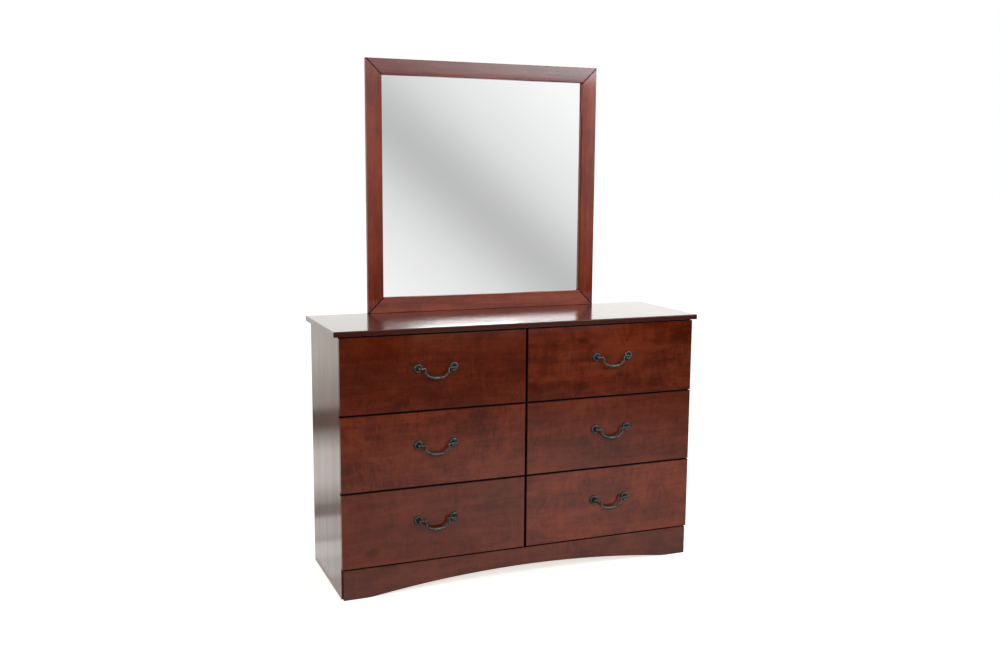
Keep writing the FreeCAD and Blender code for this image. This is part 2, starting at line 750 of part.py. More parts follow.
make_top()
make_case()
make_glue_blocks()
make_dowels()
make_runners()
for row_number in range(len(ROWS)):
    for side_name in SIDES:
        make_drawer(side_name, row_number)
make_pulls()
make_mirror()
make_supports()
finished = finish_parts()
doc.recompute()
check(finished)
os.makedirs("parts", exist_ok=True)
for part in finished:
    part.Shape.exportStep(f"parts/{part.Label}.step")
print(len(finished), "sub-parts written")
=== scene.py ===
"""The look of a six-drawer dresser with a framed mirror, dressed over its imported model.

Lengths are in metres, in the model's frame: +X to the right of someone facing the drawers, +Y to the
back, +Z up, and the origin on the floor in the middle of the footprint. A radiance of 1 is white.
"""

import math

import bpy
from mathutils import Matrix, Vector


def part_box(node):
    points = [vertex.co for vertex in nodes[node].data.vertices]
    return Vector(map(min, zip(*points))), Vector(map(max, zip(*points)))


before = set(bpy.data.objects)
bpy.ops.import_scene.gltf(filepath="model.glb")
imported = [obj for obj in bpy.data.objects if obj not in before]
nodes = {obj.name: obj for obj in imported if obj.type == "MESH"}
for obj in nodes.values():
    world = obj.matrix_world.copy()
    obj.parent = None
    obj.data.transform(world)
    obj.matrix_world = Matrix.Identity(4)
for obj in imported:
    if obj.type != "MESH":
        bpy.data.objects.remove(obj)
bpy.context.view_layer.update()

SIDES = {"left": -1, "right": 1}
ROWS = ("bottom", "middle", "top")


# Shader nodes

def node(tree, kind, inputs=(), **settings):
    """A new shader node. Each of its inputs gets a plain value, or another node's output."""
    made = tree.nodes.new("ShaderNode" + kind)
    for key, value in settings.items():
        setattr(made, key, value)
    for key, value in dict(inputs).items():
        if isinstance(value, bpy.types.NodeSocket):
            tree.links.new(value, made.inputs[key])
        else:
            made.inputs[key].default_value = value
    return made


def work_out(tree, operation, *values, clamp=False):
    """The result of a math node on numbers and outputs."""
    made = node(tree, "Math", dict(enumerate(values)), operation=operation)
    made.use_clamp = clamp
    return made.outputs[0]


def product(tree, *values):
    """Numbers and outputs multiplied together."""
    result = values[0]
    for value in values[1:]:
        result = work_out(tree, "MULTIPLY", result, value)
    return result


def rest_of(tree, share):
    """What a share leaves of the whole."""
    return work_out(tree, "SUBTRACT", 1.0, share)


def between(tree, share, first, second):
    """first where share is 0, second where it is 1, and a mix of the two between."""
    return work_out(tree, "ADD", product(tree, first, rest_of(tree, share)), product(tree, second, share))


def distance(tree, value, centre):
    """How far value lies from centre, on either side."""
    return work_out(tree, "ABSOLUTE", work_out(tree, "SUBTRACT", value, centre))


def span(tree, value, low, high, start=0.0, end=1.0):
    """A smooth step: start where value is at low, end where it is at high."""
    made = node(tree, "MapRange", {"Value": value, "From Min": low, "From Max": high, "To Min": start,
                                   "To Max": end}, interpolation_type="SMOOTHSTEP")
    return made.outputs["Result"]


def profile(tree, value, steps):
    """Smooth steps along value, multiplied together. Each has a low, a high, a start and an end."""
    return product(tree, *(span(tree, value, *step) for step in steps))


def scaled(values, factor):
    """Values, such as those of a colour, all multiplied by a factor."""
    return tuple(factor * value for value in values)


def blend_colours(tree, share, first, second):
    """Two colours mixed, each a plain colour or an output."""
    made = node(tree, "Mix", data_type="RGBA")
    for name, value in (("Factor_Float", share), ("A_Color", first), ("B_Color", second)):
        socket = next(item for item in made.inputs if item.identifier == name)
        if isinstance(value, bpy.types.NodeSocket):
            tree.links.new(value, socket)
        else:
            socket.default_value = (*value, 1) if isinstance(value, tuple) else value
    return next(item for item in made.outputs if item.identifier == "Result_Color")


def new_material(name):
    """An empty material, its tree, its Principled shader and the object's own coordinates."""
    made = bpy.data.materials.new(name)
    made.use_nodes = True
    tree = made.node_tree
    shader = next(item for item in tree.nodes if item.type == "BSDF_PRINCIPLED")
    place = node(tree, "TexCoord").outputs["Object"]
    return made, tree, shader, place


def noise(tree, place, scale, detail, roughness, stretch=(1, 1, 1), shift=(0, 0, 0), twist=0.0):
    """Fractal noise on coordinates that are first stretched axis by axis, then shifted."""
    mapped = node(tree, "Mapping", {"Vector": place, "Location": shift, "Scale": stretch})
    made = node(tree, "TexNoise", {"Vector": mapped.outputs["Vector"], "Scale": scale, "Detail": detail,
                                   "Roughness": roughness, "Distortion": twist})
    return made.outputs[0]


def raise_surface(tree, shader, socket, height, depth, strength=0.5):
    """Fine relief on one of the shader's normals, where depth is that of its full height."""
    bump = node(tree, "Bump", {"Height": height, "Distance": depth, "Strength": strength})
    tree.links.new(bump.outputs[0], shader.inputs[socket])


def set_finish(shader, **values):
    """Plain values on the shader's own sockets, a double underscore standing for a space."""
    for key, value in values.items():
        shader.inputs[key.replace("__", " ")].default_value = value


# Wood

# A wood's darkest, middle and lightest colour.
CASE_TONES = ((0.046, 0.0072, 0.0026), (0.085, 0.0135, 0.0048), (0.125, 0.0225, 0.0078))
FRAME_TONES = ((0.115, 0.0155, 0.0057), (0.195, 0.0285, 0.0100), (0.270, 0.0450, 0.0160))
RAW_TONES = ((0.42, 0.27, 0.15), (0.58, 0.41, 0.25), (0.70, 0.54, 0.36))
RUNNER_TONES = ((0.40, 0.25, 0.15), (0.52, 0.35, 0.22), (0.62, 0.45, 0.30))
BOARD_TONES = ((0.20, 0.115, 0.062), (0.25, 0.148, 0.083), (0.31, 0.19, 0.11))

# The layers of a wood's figure: each noise's scale, detail and roughness, its stretch along and across
# the grain, and its twist.
LAYERS = {"blotch": (6.0, 4.0, 0.62, 0.8, 1.25, 0.0), "curl": (34.0, 3.0, 0.6, 1.2, 0.5, 0.8),
          "fleck": (75.0, 2.0, 0.5, 2.0, 0.6, 1.2), "patch": (9.0, 2.0, 0.5, 0.7, 1.0, 0.0),
          "dash": (60.0, 3.0, 0.6, 0.22, 1.2, 0.8), "streak": (26.0, 5.0, 0.62, 0.09, 1.6, 0.0),
          "fibre": (150.0, 3.0, 0.6, 0.07, 2.2, 0.0), "pores": (420.0, 2.0, 0.5, 0.05, 2.0, 0.0)}

# A noise's mean, how far the mixed layers go to either side of theirs, and how far the figure wanders.
NOISE_MEAN = 0.5
TONE_REACH = 0.31
WANDER = 0.03

# How much of its darkest tone a wood keeps in its pores, its knots and its joints.
PORE_SHARE, KNOT_SHARE, JOINT_SHARE = 0.35, 0.45, 0.15

# How near its own line the dark of a mitre, and that of a board's edge, begins and is full.
JOINT_REACH = (0.0042, 0.0012)
RIM_REACH = (0.003, 0.0012)

# The cells that may hold a knot: how many in a metre, along and across the grain.
KNOT_CELLS = (7.0, 15.0)

# Raw wood's roughness between its streaks, and the depth of its relief. A stain under lacquer is rougher
# than the lacquer: by the factor between the streaks, and by twice as much in them.
RAW_ROUGHNESS, RAW_RELIEF = 0.58, 0.0004
STAIN_FACTOR, LACQUER_RELIEF = 1.7, 0.0001

# Refractive indices: of a stain, of the lacquer over a shining stain, and of a lacquer that shines alone.
STAIN_INDEX, THIN_INDEX, LACQUER_INDEX = 1.3, 1.3, 1.5


def toned(factor, tones=CASE_TONES):
    """A wood's colours, all darker or lighter by a factor."""
    return tuple(scaled(tone, factor) for tone in tones)


def stretch_along(grain, length, across):
    """A scale for the coordinates: length along the grain, and across on the other two axes."""
    return tuple(length if axis == grain else across for axis in "xyz")


def figure_layers(tree, place, grain, shift):
    """The layers of a wood's figure, and coordinates that wander across its grain.

    The patches lie on the plain coordinates, and the other layers on the wandering ones.
    """
    warp = noise(tree, place, 3.0, 2.0, 0.5, shift=shift)
    wander = {axis.upper(): product(tree, warp, 0.0 if axis == grain else WANDER) for axis in "xyz"}
    bent = node(tree, "VectorMath", {0: place, 1: node(tree, "CombineXYZ", wander).outputs[0]},
                operation="ADD").outputs[0]
    layers = {}
    for name, (scale, detail, roughness, length, across, twist) in LAYERS.items():
        layers[name] = noise(tree, place if name == "patch" else bent, scale, detail, roughness,
                             stretch_along(grain, length, across), shift, twist)
    return layers, bent


def lightness(tree, layers, mottle, bold):
    """How light the wood is from place to place: 0 at its darkest tone, 1 at its lightest.

    mottle runs from 0, plain streaks, to 1, lively curls. bold is the strength of the figure.
    """
    plain = 1.0 - mottle
    weights = {"blotch": 0.6 + 0.4 * mottle, "curl": 0.4 * mottle, "dash": 0.35,
               "streak": 0.4 + 0.5 * plain, "fibre": 0.12 + 0.25 * plain}
    mixed = 0.0
    for name, weight in weights.items():
        mixed = work_out(tree, "MULTIPLY_ADD", layers[name], weight, mixed)
    lively = product(tree, work_out(tree, "SUBTRACT", layers["fleck"], NOISE_MEAN),
                     span(tree, layers["patch"], 0.42, 0.62))
    mixed = work_out(tree, "MULTIPLY_ADD", lively, 0.5 * mottle, mixed)
    middle = NOISE_MEAN * sum(weights.values())
    reach = TONE_REACH / bold
    return span(tree, mixed, middle - reach, middle + reach)


def knot_spots(tree, bent, grain, shift, curl, strength):
    """Small dark spots with ragged edges, in some of the cells that the wood is divided into."""
    mapped = node(tree, "Mapping", {"Vector": bent, "Location": shift,
                                    "Scale": stretch_along(grain, *KNOT_CELLS)})
    cells = node(tree, "TexVoronoi", {"Vector": mapped.outputs[0], "Scale": 1.0, "Randomness": 1.0})
    ragged = work_out(tree, "MULTIPLY_ADD", curl, 0.25, cells.outputs["Distance"])
    chosen = span(tree, node(tree, "SeparateColor", {0: cells.outputs["Color"]}).outputs[0], 0.62, 0.7)
    return product(tree, span(tree, ragged, 0.42, 0.18, 0.0, strength), chosen)


def wood_colour(tree, layers, light, tones, spots):
    """A wood's tones by how light it is, with darker pores, and with spots where it has any."""
    ramp = node(tree, "ValToRGB", {"Fac": light})
    stops = ramp.color_ramp.elements
    stops[0].color = (*tones[0], 1)
    stops[1].color = (*tones[2], 1)
    stops.new(0.5).color = (*tones[1], 1)
    pores = span(tree, layers["pores"], 0.66, 0.74, 0.0, 0.55)
    colour = blend_colours(tree, pores, ramp.outputs["Color"], scaled(tones[0], PORE_SHARE))
    if spots:
        colour = blend_colours(tree, spots, colour, scaled(tones[0], KNOT_SHARE))
    return colour


def mark_edges(tree, place, colour, bare, seams, joint_colour, rims):
    """The colour with its dark joints and edges, and how bare of lacquer the wood is with them."""
    apart = node(tree, "SeparateXYZ", {0: place}).outputs
    for x_turn, z_turn, offset in seams:
        line = work_out(tree, "MULTIPLY_ADD", apart[0], x_turn, -offset)
        line = work_out(tree, "ABSOLUTE", work_out(tree, "MULTIPLY_ADD", apart[2], z_turn, line))
        joint = span(tree, line, *JOINT_REACH, 0.0, 0.9)
        colour = blend_colours(tree, joint, colour, joint_colour)
        bare = work_out(tree, "MAXIMUM", joint, bare)
    for axis, position, share, rim_colour in rims:
        rim = span(tree, distance(tree, apart["xyz".index(axis)], position), *RIM_REACH, 0.0, share)
        colour = blend_colours(tree, rim, colour, rim_colour)
        bare = work_out(tree, "MAXIMUM", rim, bare)
    return colour, bare


def wood(name, grain, tones, shift=(0, 0, 0), lacquer=1.0, shine=0.5, knots=0.5, gloss=0.07, relief=1.0,
         mottle=1.0, bold=1.0, worn=0.0, seams=(), rims=()):
    """Stained wood with its grain along one axis, raw where lacquer is 0.

    shift moves the figure, so that each board has its own. shine is the stain's own, under the lacquer,
    gloss is the lacquer's roughness, and worn is how much of the lacquer the streaks have lost. seams are
    an x turn, a z turn and an offset: a dark joint runs where x turn * x + z turn * z is the offset. rims
    are an axis, a position on it, a share and a colour: that colour edges the board at that position.
    """
    made, tree, shader, place = new_material(name)
    layers, bent = figure_layers(tree, place, grain, shift)
    streak = layers["streak"]
    light = lightness(tree, layers, mottle, bold)
    spots = knot_spots(tree, bent, grain, shift, layers["curl"], knots) if knots else None
    colour = wood_colour(tree, layers, light, tones, spots)
    bare = product(tree, span(tree, streak, 0.4, 0.62), worn) if worn else 0.0
    if seams or rims:
        joint_colour = scaled(tones[0], JOINT_SHARE)
        colour, bare = mark_edges(tree, place, colour, bare, seams, joint_colour, rims)
    tree.links.new(colour, shader.inputs["Base Color"])

    stain = STAIN_FACTOR * gloss
    between_streaks = stain * (1.5 - 0.5 * relief) if lacquer else RAW_ROUGHNESS
    rough = work_out(tree, "MULTIPLY_ADD", streak, stain * relief, between_streaks)
    tree.links.new(rough, shader.inputs["Roughness"])
    surface = work_out(tree, "MULTIPLY_ADD", layers["pores"], -0.6, layers["fibre"])
    raise_surface(tree, shader, "Normal", surface, LACQUER_RELIEF * relief if lacquer else RAW_RELIEF)
    if lacquer:
        raise_surface(tree, shader, "Coat Normal", streak, LACQUER_RELIEF * relief)
        set_finish(shader, Coat__Weight=lacquer, Coat__Roughness=gloss, IOR=STAIN_INDEX,
                   Coat__IOR=THIN_INDEX if shine else LACQUER_INDEX, Specular__IOR__Level=shine)
        if seams or rims or worn:
            left = work_out(tree, "MULTIPLY_ADD", bare, -lacquer, lacquer)
            tree.links.new(left, shader.inputs["Coat Weight"])
    return made


# Metal, glass

# Where the black of a rosette's hollow and of its rim begins and is full, and where the rosette is past,
# as shares of its radius. The hollow's black begins and is full at these lengths from the drawer's front.
HOLLOW_SHARES, RIM_SHARES, PAST_SHARE = (0.62, 0.48), (0.84, 0.93), 1.02
HOLLOW_REACH = (0.0045, 0.003)


def dark_of_rosettes(tree, place):
    """Where the rosettes are black: in the hollow round each post, as painted shade, and along their rims.
    """
    low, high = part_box("bottom_right_pull_posts")
    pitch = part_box("middle_right_pull_posts")[0][2] - low[2]
    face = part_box("bottom_right_drawer_front")[0][1]
    radius = (high[2] - low[2]) / 2
    half_spacing = (high[0] - low[0]) / 2 - radius

    # The distance to the nearest post's axis, folded so that one measure serves every pull.
    apart = node(tree, "SeparateXYZ", {0: place}).outputs
    across = distance(tree, work_out(tree, "ABSOLUTE", apart[0]), (low[0] + high[0]) / 2)
    across = work_out(tree, "SUBTRACT", across, half_spacing)
    up = work_out(tree, "SUBTRACT", apart[2], (low[2] + high[2]) / 2)
    up = work_out(tree, "WRAP", up, pitch / 2, -pitch / 2)
    flat = node(tree, "CombineXYZ", {"X": across, "Y": up}).outputs[0]
    reach = node(tree, "VectorMath", {0: flat}, operation="LENGTH").outputs["Value"]

    near_front = span(tree, apart[1], *(face - length for length in HOLLOW_REACH))
    hollow_shade = product(tree, span(tree, reach, *scaled(HOLLOW_SHARES, radius)), near_front)
    on_rosette = work_out(tree, "LESS_THAN", reach, PAST_SHARE * radius)
    rim = product(tree, on_rosette, span(tree, reach, *scaled(RIM_SHARES, radius)))
    return work_out(tree, "MAXIMUM", hollow_shade, rim)


def blackened(name):
    """Dark bronze with a greenish bloom, black in and round the rosettes: painted shade in their hollows,
    and black along their rims.
    """
    made, tree, shader, place = new_material(name)
    cloud = noise(tree, place, 160.0, 4.0, 0.6)
    grit = noise(tree, place, 1500.0, 2.0, 0.5)
    colour = blend_colours(tree, span(tree, cloud, 0.4, 0.62), (0.034, 0.036, 0.033), (0.071, 0.074, 0.069))
    # Black in the rosettes' hollows as painted shade, and along their rims.
    black_share = product(tree, dark_of_rosettes(tree, place), 0.7)
    colour = blend_colours(tree, black_share, colour, (0.010, 0.011, 0.011))
    tree.links.new(colour, shader.inputs["Base Color"])
    tree.links.new(work_out(tree, "MULTIPLY_ADD", cloud, 0.3, 0.42), shader.inputs["Roughness"])
    raise_surface(tree, shader, "Normal", grit, depth=0.0002, strength=0.4)
    set_finish(shader, Metallic=0.85)
    return made


def plated_steel(name):
    """Zinc-plated steel."""
    made, tree, shader, place = new_material(name)
    cloud = noise(tree, place, 300.0, 3.0, 0.6)
    colour = blend_colours(tree, cloud, (0.42, 0.41, 0.38), (0.6, 0.59, 0.55))
    tree.links.new(colour, shader.inputs["Base Color"])
    tree.links.new(work_out(tree, "MULTIPLY_ADD", cloud, 0.25, 0.25), shader.inputs["Roughness"])
    set_finish(shader, Metallic=1.0)
    return made


def silvered(name):
    """Silvered glass: a bright, perfectly sharp reflection."""
    made, tree, shader, place = new_material(name)
    haze = noise(tree, place, 9.0, 3.0, 0.5)
    colour = blend_colours(tree, haze, (0.93, 0.94, 0.935), (0.95, 0.957, 0.955))
    tree.links.new(colour, shader.inputs["Base Color"])
    set_finish(shader, Metallic=1.0, Roughness=0.0)
    return made


# The model's nodes

# Each drawer front's tone, the strength of its figure, and the number of the figure it is cut from.
# The tones partly carry painted light: the top fronts are darker, and the bottom right one lighter, than the
# rest.
FRONTS = {"top_left": (1.2, 0.78, 13), "middle_left": (1.4, 1.15, 7), "bottom_left": (1.41, 0.75, 0),
          "top_right": (1.37, 1.1, 9), "middle_right": (1.4, 0.85, 4), "bottom_right": (1.75, 1.0, 20)}

# How far a front's figure is shifted in x, in y and in z: by its side, by each row and by each number.
FRONT_SHIFTS = ((1.7, 0.83, 3.13), (0.0, 0.37, 0.71), (1.0, 2.9, 2.37))

# Each member of the mirror's frame: its grain, its tone and how full its lacquer is. The figure of each
# is shifted from that of the one before.
# The tones partly carry painted light: the top rail is darker and the bottom rail lighter than the stiles.
MEMBERS = {"bottom_rail": ("x", 1.28, 0.7), "top_rail": ("x", 0.74, 0.5), "left_stile": ("z", 1.0, 0.5),
           "right_stile": ("z", 1.1, 0.5)}
MEMBER_SHIFT = 1.3

# How full the colour of an edge is, and that colour.
# The drawer fronts' dark rims are painted shade in the gaps at their inner ends, tops and bottoms; they also
# take off the lacquer there.
FRONT_GAP_SHADE = (0.92, (0.008, 0.006, 0.0065))
BOARD_RIM = (0.8, (0.038, 0.007, 0.0037))


def finish_node(name, material):
    """Give a node of the model its material in every slot."""
    item = nodes[name]
    if not item.material_slots:
        item.data.materials.append(material)
    for slot in item.material_slots:
        slot.material = material


def finish_case():
    """The boards of the case: those that show have a figure of their own."""
    front_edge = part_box("top_panel")[0][1]
    finish_node("top_panel", wood("top_board_wood", "x", CASE_TONES, (0.3, 4.1, 0.7), knots=0.3,
                                  gloss=0.085, relief=0.0, mottle=0.3, rims=[("y", front_edge, *BOARD_RIM)]))
    finish_node("apron", wood("apron_wood", "x", toned(1.17), (46.97, 2.3, 22.0), lacquer=0.95, shine=0.0,
                              knots=0.9))
    for side, shift in (("left", (2.1, 0.4, 1.3)), ("right", (5.3, 1.9, 0.2))):
        finish_node(side + "_side_panel", wood(side + "_side_wood", "z", toned(1.7), shift, knots=0.3,
                                               mottle=0.2, worn=0.22))
    inner = wood("inner_case_wood", "x", CASE_TONES, (0.9, 3.3, 2.8), lacquer=0, knots=0.2)
    for name in ("floor_board", "front_stretcher", "rear_top_rail", "rear_base_rail", "centre_partition",
                 "mirror_left_support", "mirror_right_support"):
        finish_node(name, inner)
    beech = wood("runner_beech", "y", RUNNER_TONES, (1.5, 0.6, 0.3), lacquer=0, knots=0.0, mottle=0.2)
    for name in ("left_bay_runners", "right_bay_runners", "glue_blocks", "case_dowels"):
        finish_node(name, beech)


def finish_drawers():
    """Each drawer's stained front, with painted shade along its gaps as dark rims bare of lacquer, and its
    box of raw wood.
    """
    raw = wood("drawer_box_wood", "x", RAW_TONES, lacquer=0, knots=0.15, mottle=0.1)
    raw_sides = wood("drawer_side_wood", "y", RAW_TONES, (0.5, 0.2, 0.9), lacquer=0, knots=0.15, mottle=0.1)
    for side, turn in SIDES.items():
        for row, row_name in enumerate(ROWS):
            drawer = f"{row_name}_{side}_drawer"
            # A front's tone carries painted light as well as the wood's own.
            tone, bold, figure = FRONTS[f"{row_name}_{side}"]
            shift = tuple(turn * by_side + row * by_row + figure * by_figure
                          for by_side, by_row, by_figure in FRONT_SHIFTS)
            low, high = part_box(drawer + "_front")
            inner_end = high[0] if side == "left" else low[0]
            # Painted shade along the gaps: the inner end, the foot and the top of the front.
            rims = [(axis, position, *FRONT_GAP_SHADE)
                    for axis, position in (("x", inner_end), ("z", low[2]), ("z", high[2]))]
            finish_node(drawer + "_front", wood(drawer + "_wood", "x", toned(tone), shift, lacquer=0.9,
                                                shine=0.0, bold=bold, rims=rims))
            finish_node(drawer + "_sides", raw_sides)
            finish_node(drawer + "_back", raw)


def finish_thin_boards():
    """The drawers' floors, the back of the case and the mirror's backing."""
    thin_board = wood("thin_board_wood", "x", BOARD_TONES, (0.1, 0.6, 0.3), lacquer=0, knots=0.0)
    floors = [f"{row}_{side}_drawer_floor" for side in SIDES for row in ROWS]
    for name in (*floors, "back_panel", "mirror_backing"):
        finish_node(name, thin_board)


def finish_mirror():
    """The frame's four members, with a dark line along each mitre, and the glass."""
    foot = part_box("mirror_bottom_rail")[0][2]
    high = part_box("mirror_top_rail")[1]
    half, head = high[0], high[2]

    # Each corner's mitre, as one of the seams of a wood.
    mitres = {(side, end): (-turn, z_turn, z_turn * height - half) for side, turn in SIDES.items()
              for end, z_turn, height in (("bottom", -1, foot), ("top", 1, head))}
    # A member's tone carries painted light as well as the wood's own.
    for index, (name, (grain, tone, lacquer)) in enumerate(MEMBERS.items(), start=1):
        shift = MEMBER_SHIFT * index
        seams = [line for corner, line in mitres.items() if name.split("_")[0] in corner]
        finish_node("mirror_" + name, wood(name + "_wood", grain, toned(tone, FRAME_TONES),
                                           (shift, 0.4, shift), lacquer=lacquer, shine=0.0, knots=0.25,
                                           mottle=0.25, seams=seams))
    finish_node("mirror_glass", silvered("silvered_glass"))


def finish_metal():
    """The pulls and the screws."""
    bronze = blackened("blackened_bronze")
    for side in SIDES:
        for row in ROWS:
            finish_node(f"{row}_{side}_pull_posts", bronze)
            finish_node(f"{row}_{side}_pull_bail", bronze)
    steel = plated_steel("plated_steel")
    for name in ("runner_screws", "support_screws"):
        finish_node(name, steel)


# Studio

# The y of the wall that the mirror shows, and where the dark floor before it ends. The sheen on the wall
# starts at one height and is full at the other.
WALL, DARK_EDGE = -4.2, -0.2
SHEEN_FOOT, SHEEN_FULL = 1.962, 2.02


def upright(x_low, x_high, y, z_low, z_high):
    """The corners of a sheet that stands."""
    return [(x_low, y, z_low), (x_high, y, z_low), (x_high, y, z_high), (x_low, y, z_high)]


def level(x_low, x_high, y_low, y_high, z):
    """The corners of a sheet that lies flat."""
    return [(x_low, y_low, z), (x_high, y_low, z), (x_high, y_high, z), (x_low, y_high, z)]


def plane(name, corners, material):
    """A flat sheet from its corners, with its material."""
    mesh = bpy.data.meshes.new(name)
    mesh.from_pydata(corners, [], [tuple(range(len(corners)))])
    item = bpy.data.objects.new(name, mesh)
    bpy.context.scene.collection.objects.link(item)
    mesh.materials.append(material)
    return item


def make_floor():
    """A plain pale floor that keeps the object's shadow, brightened to white for the camera."""
    reach, camera_lift, gloss_lift = 40.0, 0.74, 0.3
    made, tree, shader, place = new_material("studio_floor")
    set_finish(shader, Roughness=0.9, Specular__IOR__Level=0.0, Emission__Color=(1, 0.97, 0.92, 1))
    grain = noise(tree, place, 3.0, 2.0, 0.5)
    colour = blend_colours(tree, grain, (0.79, 0.79, 0.79), (0.81, 0.81, 0.81))
    tree.links.new(colour, shader.inputs["Base Color"])
    path = node(tree, "LightPath").outputs
    lift = product(tree, path["Is Glossy Ray"], gloss_lift)
    lift = work_out(tree, "MULTIPLY_ADD", path["Is Camera Ray"], camera_lift, lift)
    tree.links.new(lift, shader.inputs["Emission Strength"])
    plane("floor", level(-reach, reach, -reach, reach, 0), made)


def card_material(name, look, tint):
    """A material for reflections only: look gives its radiance and how much of the sheet is there."""
    made = bpy.data.materials.new(name)
    made.use_nodes = True
    tree = made.node_tree
    tree.nodes.clear()
    place = node(tree, "TexCoord").outputs["Object"]
    apart = node(tree, "SeparateXYZ", {0: place}).outputs
    radiance, share = look(tree, apart, node(tree, "LightPath").outputs)
    glow = node(tree, "Emission", {"Strength": radiance, "Color": (*tint, 1)})
    clear = node(tree, "BsdfTransparent")
    mixed = node(tree, "MixShader", {0: share, 1: clear.outputs[0], 2: glow.outputs[0]})
    node(tree, "OutputMaterial", {"Surface": mixed.outputs[0]})
    return made


# The glass is perfectly sharp, so the rays that come from it are singular, and those that come from the
# lacquer are not. The cards tell the two apart by that.

def in_lacquer(tree, path):
    """1 for a ray that comes from lacquer, and 0 for one that comes from the glass."""
    return rest_of(tree, path["Is Singular Ray"])


# The wall's light across x for rays that have met gloss twice, as the top board shows it by way of the
# glass: below the height where it changes over, and above it, where it also fades upwards. A dull ray,
# which comes from lacquer, finds at least this much light below, and loses this share of it above.
LOW_LIGHT = ((1.0, 1.28, 0.25, 1.7), (1.85, 2.1, 1.0, 0.02))
HIGH_LIGHT = ((0.95, 1.45, 1.5, 11.0), (1.75, 2.4, 1.0, 0.8), (2.75, 3.3, 1.0, 0.15))
CHANGE_OVER = (1.7, 1.8)
HIGH_LIGHT_FADE = (2.5, 3.0, 1.0, 0.15)
DULL_LIGHT, DULL_LOSS_SHARE = 1.75, 0.82


def wall_seen_twice(tree, apart, path, twice):
    """The wall's radiance for rays that have met gloss twice."""
    dull = work_out(tree, "SUBTRACT", twice, path["Is Singular Ray"], clamp=True)
    low_light = work_out(tree, "MAXIMUM", profile(tree, apart[0], LOW_LIGHT),
                         product(tree, dull, DULL_LIGHT))
    high_light = product(tree, profile(tree, apart[0], HIGH_LIGHT), span(tree, apart[2], *HIGH_LIGHT_FADE),
                         work_out(tree, "MULTIPLY_ADD", dull, -DULL_LOSS_SHARE, 1.0))
    return between(tree, span(tree, apart[2], *CHANGE_OVER), low_light, high_light)


def backdrop(tree, apart, path):
    """A grey wall with a soft dark band across it, where the mirror shows it from the photograph's place.

    To the left of that part, and for the lacquer to its right too, it glows in its own way, as painted
    light. For the lacquer it darkens at its foot.
    """
    # The sheet glows and shows only in gloss: a painted reflection of a wall, with its dark band, its
    # brighter parts and its dark foot painted in.
    band_slope, band_place, band_half = 1.208, 2.887, 0.9
    band_grey, wall_grey = 0.541, 0.802
    paler_from, paler_slope = 0.75, 0.19
    left_edge, right_edge = (0.90, 0.84), (2.51, 2.58, 0.0, 1.8)
    lit_slope, lit_start, lit_for_glass = 1.6, -0.5, 0.85
    foot_edge = (0.12, 0.26, 0.04, 1.0)
    glass = path["Is Singular Ray"]
    across = work_out(tree, "MULTIPLY_ADD", apart[2], band_slope, -band_place)
    away = work_out(tree, "ABSOLUTE", work_out(tree, "ADD", across, apart[0]))
    near = span(tree, away, 0.0, band_half, band_grey, wall_grey)
    far = work_out(tree, "MAXIMUM", work_out(tree, "SUBTRACT", away, paler_from), 0.0)
    radiance = work_out(tree, "MINIMUM", work_out(tree, "MULTIPLY_ADD", far, paler_slope, near), 1.0)

    lacquer = in_lacquer(tree, path)
    beside = work_out(tree, "MULTIPLY_ADD", span(tree, apart[0], *right_edge), lacquer,
                      span(tree, apart[0], *left_edge))
    lit = product(tree, work_out(tree, "MULTIPLY_ADD", apart[2], lit_slope, lit_start), lacquer)
    lit = work_out(tree, "MULTIPLY_ADD", glass, lit_for_glass, lit)
    radiance = product(tree, radiance, work_out(tree, "SUBTRACT", 1.0, beside, clamp=True))
    radiance = work_out(tree, "MULTIPLY_ADD", beside, lit, radiance)
    foot = work_out(tree, "MAXIMUM", span(tree, apart[2], *foot_edge), glass)
    radiance = product(tree, radiance, foot)

    twice = span(tree, path["Ray Depth"], 1.4, 1.6)
    return between(tree, twice, radiance, wall_seen_twice(tree, apart, path, twice)), 1.0


def dark_floor(tree, apart, path):
    """The floor in front as the lacquer shows it: a painted dark reflection, but for a painted pool of light
    before the object.

    The pool drifts to the right as it leaves the object, and is narrower on that side.
    """
    dark, start_fade = 0.06, (0.0, 0.3)
    drift, pool_start, pool_half, pool_end, right_squeeze = 0.4, 0.2, 1.9, (2.9, 0.5), 1.3
    ahead = work_out(tree, "SUBTRACT", DARK_EDGE, apart[1])
    centre = work_out(tree, "MULTIPLY_ADD", ahead, drift, pool_start)
    across = work_out(tree, "SUBTRACT", apart[0], centre)
    across = work_out(tree, "MAXIMUM", product(tree, across, right_squeeze), product(tree, across, -1.0))
    pool = product(tree, span(tree, across, pool_half, 0.0), span(tree, ahead, *pool_end))
    share = product(tree, rest_of(tree, pool), span(tree, ahead, *start_fade))
    return dark, product(tree, share, in_lacquer(tree, path))


def dark_ceiling(tree, apart, path):
    """A dim ceiling, a painted dark reflection for the lacquer, which the glass does not show."""
    return 0.2, in_lacquer(tree, path)


def bright_sweep(tree, apart, path):
    """The wall behind the object, brighter to the right."""
    return span(tree, apart[0], 2.5, 5.5, 1.15, 1.3), 1.0


def upper_sheen(tree, apart, path):
    """A painted sheen: a strongly glowing strip high on the wall, no lamp, brighter to the right, for rays
    that have met lacquer only once.
    """
    once = work_out(tree, "SUBTRACT", span(tree, path["Ray Depth"], 1.6, 1.4), path["Is Singular Ray"],
                    clamp=True)
    foot = span(tree, apart[2], SHEEN_FOOT, SHEEN_FULL)
    return span(tree, apart[0], 0.3, 2.8, 2.9, 15.6), product(tree, foot, once)


